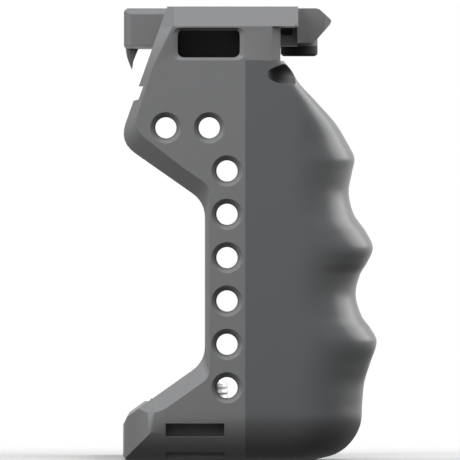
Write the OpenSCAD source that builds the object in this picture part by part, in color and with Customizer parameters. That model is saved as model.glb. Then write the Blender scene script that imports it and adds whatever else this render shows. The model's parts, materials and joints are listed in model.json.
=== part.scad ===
// Camera cage with a moulded handgrip. Millimetres, +Z up, -Y is the lens side, -X the grip side.
// The origin is the centre of the footprint on the bottom face.

/* [Frame] */
// Clear width between the two side plates
bay_w = 120; // [114:1:130]
// Height of the whole cage
cage_h = 99.5; // [98.5:0.5:104]
// Thickness of each side plate
side_t = 6.5; // [6:0.25:8]
// Thickness of the top plate
top_t = 4.4; // [4:0.2:5]
// Height of the camera seat above the bottom face
floor_h = 12; // [11.5:0.25:13]
// Reach of the frame behind the camera screw
rear_reach = 19.7; // [19.3:0.1:21]
// Reach of the side plates ahead of the camera screw
side_front = 14.8; // [14.4:0.1:16]
// Distance the top plate stands out ahead of the side plates
top_lip = 3.9; // [3.5:0.1:4.4]
// Radius of the lower corners, seen from the front and from above
corner_r = 10; // [9:0.25:11]

/* [Grip side plate] */
// Distance from the camera screw forward to the seam with the handgrip
seam_front = 7.15; // [6.6:0.1:7.6]
// Distance from the frame's rear forward to the rear slope, at the top face
slope_back = 9.7; // [9:0.1:10.4]
// Distance the rear knee stands out behind the frame
knee_out = 0.9; // [0.4:0.1:1.4]
// Distance from the top face down to the rear knee
knee_drop = 29.7; // [28.5:0.5:31]
// Place behind the camera screw of the column's rear edge
col_rear = 1.75; // [1.5:0.25:2.5]
// Distance from the top face down to the window's upper corner
win_drop = 42.9; // [41.5:0.5:45]
// Height of the window's lower corner
win_low = 21.7; // [20.5:0.5:24]
// Depth of the bevel round the plate's rear outline
bevel_d = 2.4; // [1.8:0.2:3]

/* [Accessory threads] */
// Radius of a quarter inch thread's bore
thread_r = 2.6; // [2.4:0.05:2.75]
// Radius of the countersink at a thread's mouth
thread_mouth_r = 3.4; // [3.1:0.05:3.7]
// Distance from one thread to the next
thread_pitch = 9.5; // [9:0.1:9.8]
// Height of the lowest thread of the column
column_low = 15.95; // [15.6:0.05:16.4]
// Radius of the large tripod thread's bore
large_thread_r = 4.1; // [3.9:0.05:4.3]

/* [Strap slots] */
// Length of each strap slot
strap_w = 13.6; // [12:0.2:14]
// Height of the upper strap slot
strap_h = 6.2; // [5:0.2:6.4]
// Width of the narrow strap channels
strap_gap = 2.8; // [2:0.2:3]

/* [Handgrip] */
// Distance from the top plate's underside down to the handgrip's top
grip_gap = 7.5; // [7.2:0.1:9]
// Reach of the handgrip ahead of the camera screw
grip_reach = 36; // [35:0.25:40]
// Width of the handgrip, from its flank to its inner end
grip_w = 38; // [36:0.5:42]
// Thickness of the handgrip's skin over the frame
skin_t = 2.5; // [2:0.1:2.8]
// Thickness of the plate that closes the handgrip's back
back_t = 2; // [1.5:0.1:2.5]
// Thickness of the soft pad on the back plate
grip_pad_t = 0.8; // [0.5:0.1:1.2]

/* [Top block and clamp] */
// Half the width of the middle block
block_half = 24; // [22:0.5:26]
// Depth of the middle block and of the rear beam, down from the top face
block_d = 8.3; // [8:0.1:8.6]
// Distance the nose stands out ahead of the top plate
nose_out = 7.7; // [7:0.1:8.4]
// Radius of the clamp foot and of its pad
foot_r = 4.1; // [3.6:0.1:4.4]
// Travel of the clamp foot down from rest
clamp_down = 1.2; // [0.4:0.1:1.2]
// Travel of the clamp foot up from rest
clamp_up = 0.6; // [0.2:0.1:0.6]

/* [Camera screw] */
// Radius of the camera screw's thread
screw_r = 3.175; // [3:0.025:3.3]
// Length of thread above the camera seat
screw_out = 5.2; // [4.5:0.1:6]
// Travel of the camera screw down from rest
screw_drop = 4.8; // [4:0.1:4.9]

/* [Hidden] */

// Facets on round outlines
$fn = 64;

// Colours
metal = "#56585a";
dark_metal = "#3a3b3d";
moulding = "#4c4e50";
rubber = "#161617";
steel = "#b4b6b8";
black_steel = "#2a2b2d";

// Overrun of every cut, and the gap left between fitted plates
over = 1;
fit = 0.1;
// Radial clearance of a thread or pin in its bore
run = 0.05;

// Main places
half_w = bay_w / 2;
out_x = half_w + side_t;
seam_z = cage_h - top_t;
block_z = cage_h - block_d;
top_front = side_front + top_lip;
slope_top = rear_reach - slope_back;
knee_rear = rear_reach + knee_out;
knee_h = cage_h - knee_drop;
win_top = cage_h - win_drop;
grip_h = seam_z - grip_gap;
grip_mid_x = -out_x + grip_w / 2;
grip_end_x = -out_x + grip_w;
nose_reach = top_front + nose_out;
// The footprint's centre lies this far ahead of the camera screw
centre_y = (grip_reach - rear_reach) / 2;

// Lower rear edge of the frame: a small lip, then a ramp up to the column
lip = 0.9;
lip_z = 9.6;
ramp_rise = (win_low - lip_z) / (rear_reach - lip - col_rear);
ramp_y = rear_reach - lip - (floor_h - lip_z) / ramp_rise;

// Lap joint between a side plate's foot and the bottom plate
lap_gap = 5;
lap_w = 9;
lap_out = half_w - lap_gap;
lap_in = lap_out - lap_w;
lap_z = floor_h / 2;
lap_screw_x = (lap_out + lap_in) / 2;
lap_screw_y = -2.5;
lap_screw_back = 10.2;
lap_screw_ys = [lap_screw_y, rear_reach - lap_screw_back];

// Shelf inside a side plate's top, which carries the top plate
shelf_w = 10;
shelf_d = 6.6;
shelf_back = 10.7;
shelf_rear = rear_reach - shelf_back;
shelf_screw_in = 6.4;
shelf_screw_x = half_w - shelf_screw_in;
shelf_screw_front = 3.4;
shelf_screw_back = 4.2;
shelf_screw_ys = [-side_front + shelf_screw_front, slope_top - shelf_screw_back];

// Rear slope of the grip side plate, and where the plate's flat face ends
slope_rise = (knee_rear - slope_top) / (cage_h - knee_h);
function slope_y(z) = slope_top + slope_rise * (cage_h - z);
face_slope_in = 3.4;
face_knee_in = 2.75;
face_knee_up = 3;
face_win_in = 1.05;
face_win_up = 3.5;
face_ramp_drop = 4.2;
face_slope_top = slope_top - face_slope_in;
face_knee = [knee_rear - face_knee_in, knee_h + face_knee_up];
function face_slope_y(z) = face_slope_top
    + (face_knee[0] - face_slope_top) * (cage_h - z) / (cage_h - face_knee[1]);
knee_cut = 4.4;
face_knee_cut = 4;
win_cut = 3.4;
face_win_cut = 2;

// Relief for the camera's strap lug, in the rear slope
notch_share = 0.313;
notch_z = mix(knee_h, cage_h, notch_share);
notch_h = 2.9;
notch_d = 1;

// Front corner of the side plates, and height of the round corner at the foot's rear
front_cham = 1.8;
plan_round_share = 2.5;
plan_round_z = floor_h * plan_round_share;

// Threads: the column, then the pair above the window
column_y = -3.1;
pair_y = 0.8;
pair_ys = [pair_y, pair_y + thread_pitch];
pair_drop = 26.6;
pair_z = cage_h - pair_drop;
column_share = 0.1;
column_n = floor((pair_z - column_low) / thread_pitch + column_share);

// Strap slots
strap_drop = 3.7;
strap_z = seam_z - strap_drop;
strap_in = 2.3;
strap_mid_y = slope_top - strap_in - strap_w / 2;
strap_r = 1.4;
strap_flare = 0.6;
strap_wall = 3;
low_strap_w = 12.8;
low_strap_back = 9.4;
low_strap_y = rear_reach - low_strap_back - low_strap_w / 2;
low_strap_z = 6.7;
low_strap_in = 7.2;

// Far side plate
strut_w = 6.2;
strut_rear = -side_front + strut_w;
strut_cut = 4;
brow_drop = 20.5;
brow_z = cage_h - brow_drop;
brow_in = 6.9;
brow_rear = rear_reach - brow_in;
brow_back = 1.6;
brow_low_cut = 3;
brow_top_cut = 1;
hook_drop = 13;
hook_low = cage_h - hook_drop;
hook_tip_in = 1.4;
hook_mid_in = 1.7;
hook_mid_up = 2;
hook_in = 2.8;
hook_turn_up = 3.4;
hook_cut = 2;
far_thread_y = -3.2;
far_thread_ys = [far_thread_y, far_thread_y + thread_pitch];
far_thread_drop = 16.1;
far_thread_z = cage_h - far_thread_drop;

// Top plate
bar_in = 3.8;
bar_front_y = -side_front + bar_in;
bar_rear_y = 4;
bar_end = lap_in;
pad_back = 10.1;
pad_rear = rear_reach - pad_back;
window_in = 11;
window_end = half_w - window_in;
beam_w = 7.7;
beam_y = rear_reach - beam_w;
side_cham = 1.3;
rear_cham = 0.7;
block_r = 1.8;
plan_r = 1.4;
bevel_top = 1.45;
groove_h = 1.5;
groove_in = 5;
groove_gap = 1.15;
groove_back = 1.8;
groove_y = [-top_front + groove_gap, -side_front + groove_back];

// Nose: its profile, the chamfers at its ends and the fillet to the top plate
nose_sunk = 0.2;
nose_low_share = 0.4545;
nose_top_share = 0.597;
nose_root = top_front - nose_sunk;
nose_low = top_front + nose_out * nose_low_share;
nose_top = top_front + nose_out * nose_top_share;
nose_tip_d = 2.8;
nose_tip_z = cage_h - nose_tip_d;
nose_d = 7.6;
nose_low_z = cage_h - nose_d;
nose_cut = 0.8;
nose_cham = 1.7;
nose_fillet = 2.1;

// Cold shoe insert
shoe_w = 20.4;
shoe_front = -0.5;
shoe_back = 1.2;
shoe_l = rear_reach - shoe_back - shoe_front;
shoe_floor = 0.8;
shoe_slot_w = 18.7;
shoe_slot_h = 2.2;
shoe_gap = 12.6;
shoe_lip = 1.4;
shoe_sunk = 0.8;
shoe_z = cage_h - shoe_sunk - shoe_lip - shoe_slot_h - shoe_floor;
shoe_screw_x = 6.2;
shoe_screw_y = 5.6;
shoe_screw_r = 0.95;
shoe_head_r = 1.8;
shoe_screw_deep = 2.2;
shoe_screw_len = shoe_floor + shoe_screw_deep;
shoe_mid_y = shoe_front + shoe_l / 2;
top_thread_x = (block_half + shoe_w / 2) / 2;
top_thread_y = 1;
top_thread_back = 6.7;
top_thread_ys = [top_thread_y, rear_reach - top_thread_back];
spring_t = 0.3;
spring_w = 7;
spring_back = 1.5;
spring_slit = 0.8;
spring_slit_front = 4;
spring_slit_rear = 6;
spring_slit_y = [shoe_mid_y - spring_slit_front, shoe_mid_y + spring_slit_rear];

// Clamp foot under the nose
clamp_out = 0.4;
clamp_y = -top_front - clamp_out;
clamp_r = 2;
clamp_sunk = 0.6;
clamp_top = cage_h - clamp_sunk;
foot_z = block_z + fit;
foot_h = 3;
foot_pit = 2;
clamp_pad_h = 2.2;
pocket_gap = 0.4;
clamp_cham = 0.5;
clamp_key_r = 1.15;
clamp_key_d = 2;

// Camera screw, its well and its ring
well_r = 8;
well_d = 5.2;
web_t = 1.2;
clip_well_r = 5.6;
screw_gap = 0.35;
screw_bore_r = screw_r + screw_gap;
head_r = 6;
head_z = 3.2;
head_h = 1.9;
lug_w = 4.4;
lug_l = 6;
lug_z = 0.9;
ring_z = 2;
ring_wire = 0.7;
ring_half = 4.3;
ring_arm = 2.1;
clip_t = 0.5;
clip_r = 5.2;
clip_sunk = 0.6;
clip_z = floor_h - clip_sunk;
clip_groove = 0.5;
clip_slit_share = 0.7;
screw_tip = 0.8;

// Bottom plate
battery_share = [-0.7167, -0.2833];
battery_x = battery_share * half_w;
battery_front = -5;
battery_back = 7.7;
battery_y = [battery_front, rear_reach - battery_back];
battery_mid = [(battery_x[0] + battery_x[1]) / 2, (battery_y[0] + battery_y[1]) / 2];
battery_size = [battery_x[1] - battery_x[0], battery_y[1] - battery_y[0]];
battery_r = 3;
tripod_shares = [0.25, 0.46, 0.65];
small_tripod_x = half_w * tripod_shares[0];
large_tripod_x = half_w * tripod_shares[1];
far_tripod_x = half_w * tripod_shares[2];
relief_front = 3.4;
relief_back = 9.3;
relief_ys = [-side_front + relief_front, rear_reach - relief_back];
relief_w = 3.2;
relief_end = 1;
relief_l = far_tripod_x - small_tripod_x - 2 * relief_end;
relief_d = 7;

// Countersunk screws; a key's radius is a share of its screw's
key_share = 0.8;
m3_r = 1.5;
m3_head_r = 2.9;
m3_head_h = 1.7;
m3_len = 9.4;
head_sunk = 0.2;

// Handgrip: distance its wedge stops below its top, and the pocket behind it
wedge_drop = 1.3;
tongue_drop = 7.6;
tongue_top = grip_h - tongue_drop;
pocket_out = 2;
pocket_end = 8.5;
pocket_depth_share = 0.5;
pocket_top_share = 0.765;
grip_pocket_x = [-half_w + pocket_out, grip_end_x - pocket_end];
grip_pocket_y = mix(side_front, grip_reach, pocket_depth_share);
grip_pocket_z = [floor_h, grip_h * pocket_top_share];
grip_pocket_mid = [(grip_pocket_x[0] + grip_pocket_x[1]) / 2, (grip_pocket_z[0] + grip_pocket_z[1]) / 2];
post_r = 2.4;
post_in = 2.3;
back_screw_r = 0.8;
back_head_r = 1.6;
back_head_h = 0.9;
back_screw_len = 7;
back_lip = 2.2;

// Leaf-shaped scoop at the handgrip's top corner
scoop_r = 2.3;
scoop_tilt = 22;
scoop_back = 2.75;
scoop_y = -side_front + scoop_back;
scoop_drop = 3.05;
scoop_z = grip_h - scoop_drop;

// Screws that hold the handgrip: from inside the bay, and up through its sole
grip_screw_in = 3.5;
grip_screw_y = -side_front + grip_screw_in;
grip_screw_r = 1.2;
grip_head_r = 2.4;
grip_head_h = 1.4;
base_screw_end = 7.5;
base_screw_xs = [-lap_screw_x, grip_end_x - base_screw_end];
base_screw_len = 9.2;
skin_left = 0.8;
side_screw_up = 3.6;
side_screw_drop = 4.6;
side_screw_zs = [floor_h + side_screw_up, tongue_top - side_screw_drop];
side_screw_len = side_t - head_sunk - skin_left;

// Rubber pads
pad_t = 0.65;
deck_pad_t = 0.6;
pad_r = 1.5;
pad_edge = 0.9;
pad_in = 1.4;
pad_gap = 0.6;
side_pad_up = 8;
side_pad_drop = 9;
side_pad_z = [floor_h + side_pad_up, tongue_top - side_pad_drop];

// Shape of the handgrip's rings, from its top to where it is full
top_corner_r = 2.4;
corner_power = 2;
body_power = 2.4;
front_steps = 14;
ring_step = 0.01;
round_end_share = 0.759;
front_share = 0.59;
end_share = 0.6;
// Front profile of the handgrip: share of its height, share of its reach beyond the frame
finger_shares = [[0, 0.358], [0.014, 0.57], [0.044, 0.732], [0.089, 0.832], [0.144, 0.851],
                 [0.195, 0.873], [0.24, 0.929], [0.297, 1], [0.33, 0.936], [0.361, 0.844],
                 [0.4155, 0.783], [0.466, 0.83], [0.496, 0.904], [0.532, 0.96], [0.571, 0.891],
                 [0.616, 0.764], [0.671, 0.711], [0.722, 0.745], [0.757, 0.769], [0.798, 0.688],
                 [0.844, 0.57], [0.8955, 0.38], [0.945, 0.19], [0.975, 0.115], [1, 0.029]];
// Heights of the handgrip's rings, as shares of its height: the round sole, then even steps
sole_shares = [0, 0.004, 0.014, 0.028, 0.044, 0.064, 0.086];
sole_end_share = 0.1142;
body_rings = 36;
ring_shares = concat(sole_shares, [for (i = [0 : body_rings]) mix(sole_end_share, 1, i / body_rings)]);

function unit(v) = v / norm(v);
function mix(a, b, t) = a + (b - a) * t;
function ease(t) = let (s = min(1, max(0, t))) s * s * (3 - 2 * s);

// One softened corner: a curve from one leg to the other, or the bare point where cut is zero
function soft_corner(a, v, b, cut, n) = cut == 0 ? [v]
    : let (p = v + cut * unit(a - v), q = v + cut * unit(b - v))
      [for (i = [0 : n]) let (t = i / n) (1 - t) * (1 - t) * p + 2 * t * (1 - t) * v + t * t * q];

// Closed outline from corners given as [place, place, cut]
function soft_path(pts, n = 6) = [for (i = [0 : len(pts) - 1])
    let (m = len(pts), a = pts[(i + m - 1) % m], v = pts[i], b = pts[(i + 1) % m])
    each soft_corner([a[0], a[1]], [v[0], v[1]], [b[0], b[1]], v[2], n)];

// Ring of points in the plane at x, from an outline that runs clockwise in YZ
function at_x(outline, x) = [for (i = [len(outline) - 1 : -1 : 0]) [x, outline[i][0], outline[i][1]]];

// Smooth curve through a table of [place, value]
function slope_at(table, i) = let (a = table[max(0, i - 1)], b = table[min(len(table) - 1, i + 1)])
    (b[1] - a[1]) / (b[0] - a[0]);
function cell(table, t, i = 0) = i >= len(table) - 2 || t <= table[i + 1][0] ? i : cell(table, t, i + 1);
function smooth(table, t) = let (i = cell(table, t), a = table[i], b = table[i + 1], w = b[0] - a[0],
                                 s = (t - a[0]) / w)
    (1 + 2 * s) * (1 - s) * (1 - s) * a[1] + s * (1 - s) * (1 - s) * w * slope_at(table, i)
    + s * s * (3 - 2 * s) * b[1] + s * s * (s - 1) * w * slope_at(table, i + 1);

// Extrusions along the three axes of outlines drawn in YZ, XZ and XY
module along_x(x0, x1) {
    translate([x0, 0, 0]) rotate([90, 0, 90]) linear_extrude(x1 - x0) children();
}
module along_y(y0, y1) {
    translate([0, y1, 0]) rotate([90, 0, 0]) linear_extrude(y1 - y0) children();
}
module along_z(z0, z1) {
    translate([0, 0, z0]) linear_extrude(z1 - z0) children();
}

// Box between two corners
module span(lo, hi) {
    translate(lo) cube(hi - lo);
}

// Solid through rings of points, with flat ends
module loft(rings) {
    n = len(rings[0]);
    last = (len(rings) - 1) * n;
    polyhedron(
        points = [for (r = rings) each r],
        faces = concat(
            [[for (i = [0 : n - 1]) i]],
            [for (k = [0 : len(rings) - 2]) for (i = [0 : n - 1])
                [k * n + i, (k + 1) * n + i, (k + 1) * n + (i + 1) % n]],
            [for (k = [0 : len(rings) - 2]) for (i = [0 : n - 1])
                [k * n + i, (k + 1) * n + (i + 1) % n, k * n + (i + 1) % n]],
            [[for (i = [n - 1 : -1 : 0]) last + i]]));
}

// Rectangle with round corners, centred
module round_rect(w, h, r) {
    square([w - 2 * r, h], center = true);
    square([w, h - 2 * r], center = true);
    for (x = [-1, 1]) for (y = [-1, 1])
        translate([x * (w / 2 - r), y * (h / 2 - r)]) circle(r);
}

// Slot with full round ends, centred
module round_slot(w, r) {
    square([w - 2 * r, 2 * r], center = true);
    for (x = [-1, 1]) translate([x * (w / 2 - r), 0]) circle(r);
}

// Everything is modelled round the camera screw, then moved to the footprint's centre
module placed() {
    translate([0, centre_y, 0]) children();
}
module both_sides() {
    children();
    mirror([1, 0, 0]) children();
}

// Quarter inch thread's bore with a countersunk mouth, along +X from the outer face
module side_thread(y, z) {
    translate([-out_x - over, y, z]) rotate([0, 90, 0]) cylinder(r = thread_r, h = side_t + 2 * over);
    translate([-out_x, y, z]) rotate([0, 90, 0])
        cylinder(r1 = thread_mouth_r, r2 = thread_r, h = thread_mouth_r - thread_r);
}

// Countersunk screw with its head's face at z = 0, pointing down, and its hole
module flat_screw(r, head_r, head_h, len) {
    difference() {
        union() {
            translate([0, 0, -head_h]) cylinder(r1 = r, r2 = head_r, h = head_h);
            translate([0, 0, -len]) cylinder(r = r, h = len - head_h / 2);
        }
        translate([0, 0, -head_h * key_share]) cylinder(r = r * key_share, h = head_h, $fn = 6);
    }
}
module flat_screw_hole(r, head_r, head_h, len, sunk) {
    translate([0, 0, -head_h - sunk]) cylinder(r1 = r + run, r2 = head_r + run, h = head_h);
    translate([0, 0, -sunk]) cylinder(r = head_r + run, h = sunk + over);
    translate([0, 0, -len - sunk - fit]) cylinder(r = r + run, h = len + fit);
}

// Screws of the plates: one over a shelf, one under a foot
module plate_screw() {
    flat_screw(m3_r, m3_head_r, m3_head_h, m3_len);
}
module plate_screw_hole() {
    flat_screw_hole(m3_r, m3_head_r, m3_head_h, m3_len, head_sunk);
}
module at_shelf_screws(z) {
    for (y = shelf_screw_ys) translate([-shelf_screw_x, y, z]) children();
}
module at_lap_screws(z) {
    for (y = lap_screw_ys) translate([-lap_screw_x, y, z]) mirror([0, 0, 1]) children();
}

// Places of the screws that hold the handgrip
module at_side_screws(x) {
    for (z = side_screw_zs) translate([x, grip_screw_y, z]) rotate([0, 90, 0]) children();
}
module at_base_screws(z) {
    for (x = base_screw_xs) translate([x, grip_screw_y, z]) mirror([0, 0, 1]) children();
}
module grip_screw_holes() {
    at_side_screws(-half_w)
        flat_screw_hole(grip_screw_r, grip_head_r, grip_head_h, side_screw_len, head_sunk);
    at_base_screws(0)
        flat_screw_hole(grip_screw_r, grip_head_r, grip_head_h, base_screw_len, head_sunk);
}

// Section of the frame from the front: flat flank, round lower corner
module flank_section(inset) {
    r = corner_r - inset;
    translate([-out_x + inset, corner_r]) square([out_x - inset, cage_h - corner_r]);
    translate([-out_x + corner_r, inset]) square([out_x - corner_r, cage_h - inset]);
    translate([-out_x + corner_r, corner_r]) circle(r);
}

// Round lower corner, and round rear corner of the foot, that both side plates share
module outer_corner_cuts() {
    difference() {
        span([-out_x - over, -side_front - over, -over], [-out_x + corner_r, rear_reach + over, corner_r]);
        translate([-out_x + corner_r, -side_front - 2 * over, corner_r]) rotate([-90, 0, 0])
            cylinder(r = corner_r, h = side_front + rear_reach + 4 * over);
    }
    difference() {
        span([-out_x - over, rear_reach - corner_r, -over],
             [-out_x + corner_r, rear_reach + over, plan_round_z]);
        translate([-out_x + corner_r, rear_reach - corner_r, -2 * over])
            cylinder(r = corner_r, h = plan_round_z + 4 * over);
    }
}

// Section of the seat from the side, with the ramp at its rear
module seat_section() {
    polygon([[-side_front, 0], [-side_front, floor_h], [ramp_y, floor_h], [rear_reach - lip, lip_z],
             [rear_reach, lip_z - 2 * lip], [rear_reach, lip], [rear_reach - lip, 0]]);
}

// Foot under the camera, cut back below the lap joint
module foot() {
    difference() {
        along_x(-half_w, -lap_in - fit) seat_section();
        span([-lap_out - fit, -side_front - over, -over], [0, rear_reach + over, lap_z + fit]);
    }
}

// Shelf inside the top, with the strap's way up behind the upper slot
module shelf() {
    difference() {
        span([-half_w, -side_front, seam_z - shelf_d], [-half_w + shelf_w, shelf_rear, seam_z]);
        strap_way(seam_z + over);
    }
}
module strap_way(top) {
    span([-half_w, strap_mid_y - strap_w / 2, strap_z - strap_h / 2],
         [-half_w + strap_wall, strap_mid_y + strap_w / 2, top]);
}

// Cuts that both side plates share: straps, lap screws, shelf screws
module side_cuts() {
    along_x(-out_x - over, -half_w + over) translate([strap_mid_y, strap_z])
        round_rect(strap_w, strap_h, strap_r);
    slot_flare();
    span([-out_x - over, low_strap_y - low_strap_w / 2, low_strap_z - strap_gap / 2],
         [-out_x + low_strap_in, low_strap_y + low_strap_w / 2, low_strap_z + strap_gap / 2]);
    span([-out_x + low_strap_in - strap_gap, low_strap_y - low_strap_w / 2, -over],
         [-out_x + low_strap_in, low_strap_y + low_strap_w / 2, low_strap_z]);
    at_lap_screws(0) plate_screw_hole();
    at_shelf_screws(cage_h) plate_screw_hole();
}

// Flare at the mouth of the upper strap slot, wider at the slot's ends than below and above
function slot_outline(grow) = let (w = strap_w / 2 + 2 * grow, low = -strap_h / 2 - grow,
                                   high = strap_h / 2 + grow / 2, c = strap_r + grow)
    [for (p = soft_path([[-w, low, c], [-w, high, c], [w, high, c], [w, low, c]]))
        p + [strap_mid_y, strap_z]];
module slot_flare() {
    loft([at_x(slot_outline(strap_flare + over), -out_x - over),
          at_x(slot_outline(0), -out_x + strap_flare)]);
}

// Outline of the grip side plate: at its edge, and where its flat face ends
edge_outline = soft_path([[-side_front, 0, 0], [-side_front, seam_z, 0], [slope_y(seam_z), seam_z, 0],
    [knee_rear, knee_h, knee_cut], [col_rear, win_top, win_cut], [col_rear, win_low, win_cut],
    [rear_reach - lip, lip_z, 0], [rear_reach, lip_z - 2 * lip, 0], [rear_reach, lip, 0],
    [rear_reach - lip, 0, 0]]);
face_outline = soft_path([[-side_front, 0, 0], [-side_front, seam_z, 0], [face_slope_y(seam_z), seam_z, 0],
    [face_knee[0], face_knee[1], face_knee_cut],
    [col_rear - face_win_in, win_top + face_win_up, face_win_cut],
    [col_rear - face_win_in, win_low - face_win_up, face_win_cut],
    [rear_reach - lip, lip_z - face_ramp_drop, 0], [rear_reach, lip_z - face_ramp_drop - lip, 0],
    [rear_reach, lip, 0], [rear_reach - lip, 0, 0]]);

module grip_wall() {
    along_x(-out_x, -half_w) polygon(edge_outline);
}

// Bevel round the rear outline: all that lies outside a flaring core
function flare_outline(t) = [for (i = [0 : len(edge_outline) - 1])
    let (e = edge_outline[i], f = face_outline[i], far = -2 * side_front)
    e[0] == -side_front ? [far, e[1] == 0 ? far : cage_h + 2 * over]
    : e[1] == 0 ? [e[0] + over, far]
    : e[1] == seam_z
        ? [mix(face_slope_y(cage_h + 2 * over), slope_y(cage_h + 2 * over), t), cage_h + 2 * over]
    : mix(f, e, t)];
module bevel_cut() {
    difference() {
        span([-out_x - over, -side_front / 2, -over],
             [-out_x + bevel_d + over, rear_reach + 3 * over, cage_h + over]);
        loft([at_x(flare_outline(-2 * over / bevel_d), -out_x - 2 * over),
              at_x(flare_outline(1 + 2 * over / bevel_d), -out_x + bevel_d + 2 * over)]);
    }
}

// Room for the handgrip's skin ahead of the seam, and for its solid top above the tongue
module skin_room() {
    difference() {
        span([-out_x - over, -side_front - over, -over], [grip_end_x + fit, -seam_front, grip_h]);
        along_y(-side_front - 2 * over, -seam_front + over) flank_section(skin_t);
    }
    span([-out_x - over, -side_front - over, tongue_top], [-half_w + over, -seam_front, grip_h]);
}

// Chamfer along the front corner of a side plate
module front_corner_cut(z0) {
    along_z(z0, cage_h + over) polygon([[-out_x - over, -side_front + front_cham + over],
        [-out_x + front_cham + over, -side_front - over], [-out_x - over, -side_front - over]]);
}

module grip_side_plate() {
    color(metal) placed() difference() {
        union() {
            grip_wall();
            foot();
            shelf();
        }
        bevel_cut();
        outer_corner_cuts();
        skin_room();
        front_corner_cut(grip_h);
        side_cuts();
        for (i = [0 : column_n - 1]) side_thread(column_y, column_low + i * thread_pitch);
        for (y = pair_ys) side_thread(y, pair_z);
        // Relief for the camera's strap lug, in the rear slope
        along_x(-out_x - over, -half_w + over) polygon([
            [slope_y(notch_z) - notch_d, notch_z], [slope_y(notch_z) + over, notch_z - notch_d / 2],
            [slope_y(notch_z + notch_h) + over, notch_z + notch_h],
            [slope_y(notch_z + notch_h) - notch_d, notch_z + notch_h]]);
        grip_screw_holes();
    }
}

// Far side plate: a front strut, open behind for the camera's ports and screen
module far_outline() {
    polygon(soft_path([[-side_front, 0, 0], [-side_front, seam_z, 0], [rear_reach, seam_z, 0],
        [rear_reach, hook_low + hook_turn_up, hook_cut], [rear_reach - hook_tip_in, hook_low, 0],
        [rear_reach - hook_mid_in, hook_low + hook_mid_up, 0], [rear_reach - hook_in, block_z, 0],
        [brow_rear, block_z, brow_top_cut],
        [brow_rear - brow_back, brow_z, brow_low_cut],
        [strut_rear, brow_z, strut_cut], [strut_rear, floor_h, strut_cut], [ramp_y, floor_h, 0],
        [rear_reach - lip, lip_z, 0], [rear_reach, lip_z - 2 * lip, 0], [rear_reach, lip, 0],
        [rear_reach - lip, 0, 0]]));
}

module far_side_plate() {
    color(metal) placed() mirror([1, 0, 0]) difference() {
        union() {
            along_x(-out_x, -half_w) far_outline();
            foot();
            shelf();
        }
        outer_corner_cuts();
        front_corner_cut(-over);
        side_cuts();
        for (y = far_thread_ys) side_thread(y, far_thread_z);
    }
}

// Top plate, built in layers: thin plate, thick block and beam, nose
module top_plan() {
    difference() {
        union() {
            translate([-out_x, -top_front]) square([2 * out_x, top_front + pad_rear]);
            translate([-block_half, -top_front]) square([block_half + out_x, top_front + rear_reach]);
        }
        // Window over the shutter and dials
        translate([-bar_end, bar_front_y]) square([bar_end - block_half, bar_rear_y - bar_front_y]);
        // Window over the far dial
        translate([block_half, bar_front_y]) square([window_end - block_half, beam_y - bar_front_y]);
    }
}

// Nose: a prism along the front, with chamfered ends and a fillet to the top plate's front
module nose() {
    along_x(-block_half, block_half) polygon(soft_path([
        [-nose_root, nose_low_z, 0], [-nose_low, nose_low_z, 0],
        [-nose_reach, nose_tip_z, nose_cut], [-nose_top, cage_h, nose_cut], [-nose_root, cage_h, 0]]));
    both_sides() along_z(nose_low_z, cage_h) polygon(concat(
        [[-block_half + over, -nose_root], [-block_half - nose_fillet, -nose_root]],
        soft_corner([-block_half - 2 * nose_fillet, -top_front], [-block_half, -top_front],
                    [-block_half, -top_front - 2 * nose_fillet], nose_fillet, front_steps / 2),
        [[-block_half + over, -top_front - nose_fillet]]));
}
module nose_end_cut() {
    along_z(nose_low_z - over, cage_h + over) polygon([[-block_half - over, -nose_reach + nose_cham + over],
        [-block_half + nose_cham + over, -nose_reach - over], [-block_half - over, -nose_reach - over]]);
}
module near_top_end() {
    along_x(-out_x, -half_w) polygon([[-top_front, seam_z], [-top_front, cage_h],
                                      [slope_y(cage_h), cage_h], [slope_y(seam_z), seam_z]]);
}

// Bevel at the rear of the top plate's near end, which runs on from the side plate's bevel
bevel_low = [-out_x, face_slope_y(seam_z)];
bevel_dir = [-out_x + bevel_d, slope_y(seam_z)] - bevel_low;
bevel_high = [-out_x + top_t, slope_top - bevel_top];
function bevel_ring(z) = let (p = mix(bevel_low, bevel_high, (z - seam_z) / top_t),
                              x = -out_x - over, y = rear_reach + over)
    [[x, p[1] + (x - p[0]) * bevel_dir[1] / bevel_dir[0], z],
     [p[0] + (y - p[1]) * bevel_dir[0] / bevel_dir[1], y, z], [x, y, z]];
module top_bevel_cut() {
    loft([bevel_ring(seam_z - over), bevel_ring(cage_h + over)]);
}

// Long 45 degree edge along the near side of the top
module edge_cut() {
    along_y(-nose_reach - over, rear_reach + over)
        polygon([[-out_x - over, seam_z - over], [-out_x - over, cage_h + over],
                 [-out_x + top_t + over, cage_h + over]]);
}

// Round corner in plan, at a place whose signs say which corner it is
module plan_corner_cut(x, y, r) {
    translate([x, y, block_z]) mirror([x > 0 ? 1 : 0, 0, 0]) mirror([0, y > 0 ? 1 : 0, 0]) difference() {
        span([-over, -over, -over], [r, r, block_d + over]);
        translate([r, r, -2 * over]) cylinder(r = r, h = block_d + 4 * over);
    }
}

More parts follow.
